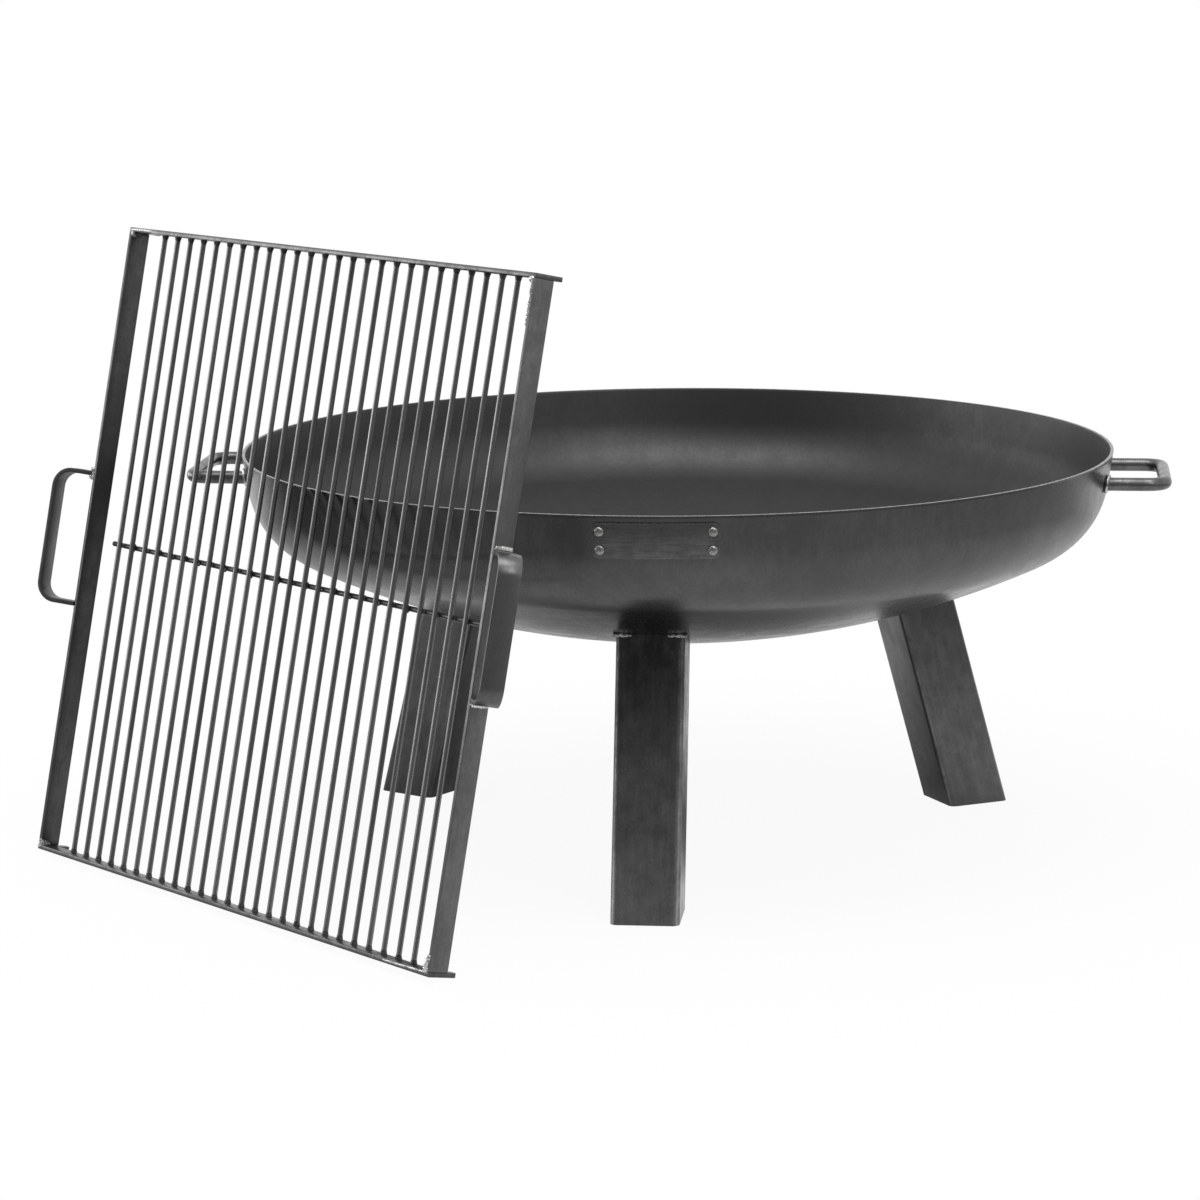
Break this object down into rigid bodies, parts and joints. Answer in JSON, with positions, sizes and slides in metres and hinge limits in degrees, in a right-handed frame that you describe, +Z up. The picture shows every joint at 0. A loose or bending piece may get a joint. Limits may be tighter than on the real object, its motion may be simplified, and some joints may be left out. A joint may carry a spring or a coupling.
{
  "type": "fire bowl",
  "caption": "Wide dished steel fire bowl on splayed box-section legs, with bar carrying handles and a loose rod grate leaning against its rim.",
  "frame": {"origin": "on the floor that the legs stand on, below the middle of the whole outline in plan, the leaning grate included", "axes": "+Z up, +X along the line through the carrying handles, to the right as seen from the riveted plate; the front leg stands at -Y"},
  "size_m": [1.0362, 0.931, 0.5711],
  "materials": {
    "bowl_steel": "satin dark mill scale, bare and oiled",
    "leg_steel": "satin dark mill scale with drawn streaks along the tube",
    "handle_steel": "satin dark round bar",
    "plate_steel": "satin dark sheet",
    "grate_steel": "satin grey flat bar and rod",
    "rivet_steel": "domed, lightly dulled",
    "weld_steel": "bright rippled weld bead"
  },
  "bodies": {
    "bowl": {"bowl_shell": "bowl_steel", "leg_front": "leg_steel", "leg_right": "leg_steel", "leg_left": "leg_steel", "leg_weld_front_a": "weld_steel", "leg_weld_front_b": "weld_steel", "leg_weld_right_a": "weld_steel", "leg_weld_right_b": "weld_steel", "leg_weld_left_a": "weld_steel", "leg_weld_left_b": "weld_steel", "handle_right": "handle_steel", "handle_left": "handle_steel", "handle_weld_right_front": "weld_steel", "handle_weld_right_rear": "weld_steel", "handle_weld_left_front": "weld_steel", "handle_weld_left_rear": "weld_steel", "plate": "plate_steel", "rivet_1": "rivet_steel", "rivet_2": "rivet_steel", "rivet_3": "rivet_steel", "rivet_4": "rivet_steel"},
    "grate": {"grate_end_bottom": "grate_steel", "grate_end_top": "grate_steel", "grate_side_left": "grate_steel", "grate_side_right": "grate_steel", "grate_rod_01": "grate_steel", "grate_rod_02": "grate_steel", "grate_rod_03": "grate_steel", "grate_rod_04": "grate_steel", "grate_rod_05": "grate_steel", "grate_rod_06": "grate_steel", "grate_rod_07": "grate_steel", "grate_rod_08": "grate_steel", "grate_rod_09": "grate_steel", "grate_rod_10": "grate_steel", "grate_rod_11": "grate_steel", "grate_rod_12": "grate_steel", "grate_rod_13": "grate_steel", "grate_rod_14": "grate_steel", "grate_rod_15": "grate_steel", "grate_rod_16": "grate_steel", "grate_rod_17": "grate_steel", "grate_rod_18": "grate_steel", "grate_rod_19": "grate_steel", "grate_rod_20": "grate_steel", "grate_rod_21": "grate_steel", "grate_rod_22": "grate_steel", "grate_rod_23": "grate_steel", "grate_rod_24": "grate_steel", "grate_rod_25": "grate_steel", "grate_rod_26": "grate_steel", "grate_cross_rod": "grate_steel", "grate_handle_left": "grate_steel", "grate_handle_right": "grate_steel", "grate_weld_left_top": "weld_steel", "grate_weld_left_bottom": "weld_steel", "grate_weld_right_top": "weld_steel", "grate_weld_right_bottom": "weld_steel"}
  },
  "joints": [
    {"name": "grate_lift", "type": "slide", "parent": "bowl", "child": "grate", "axis": [0, 0, 1], "range_m": [0, 0.4]}
  ]
}
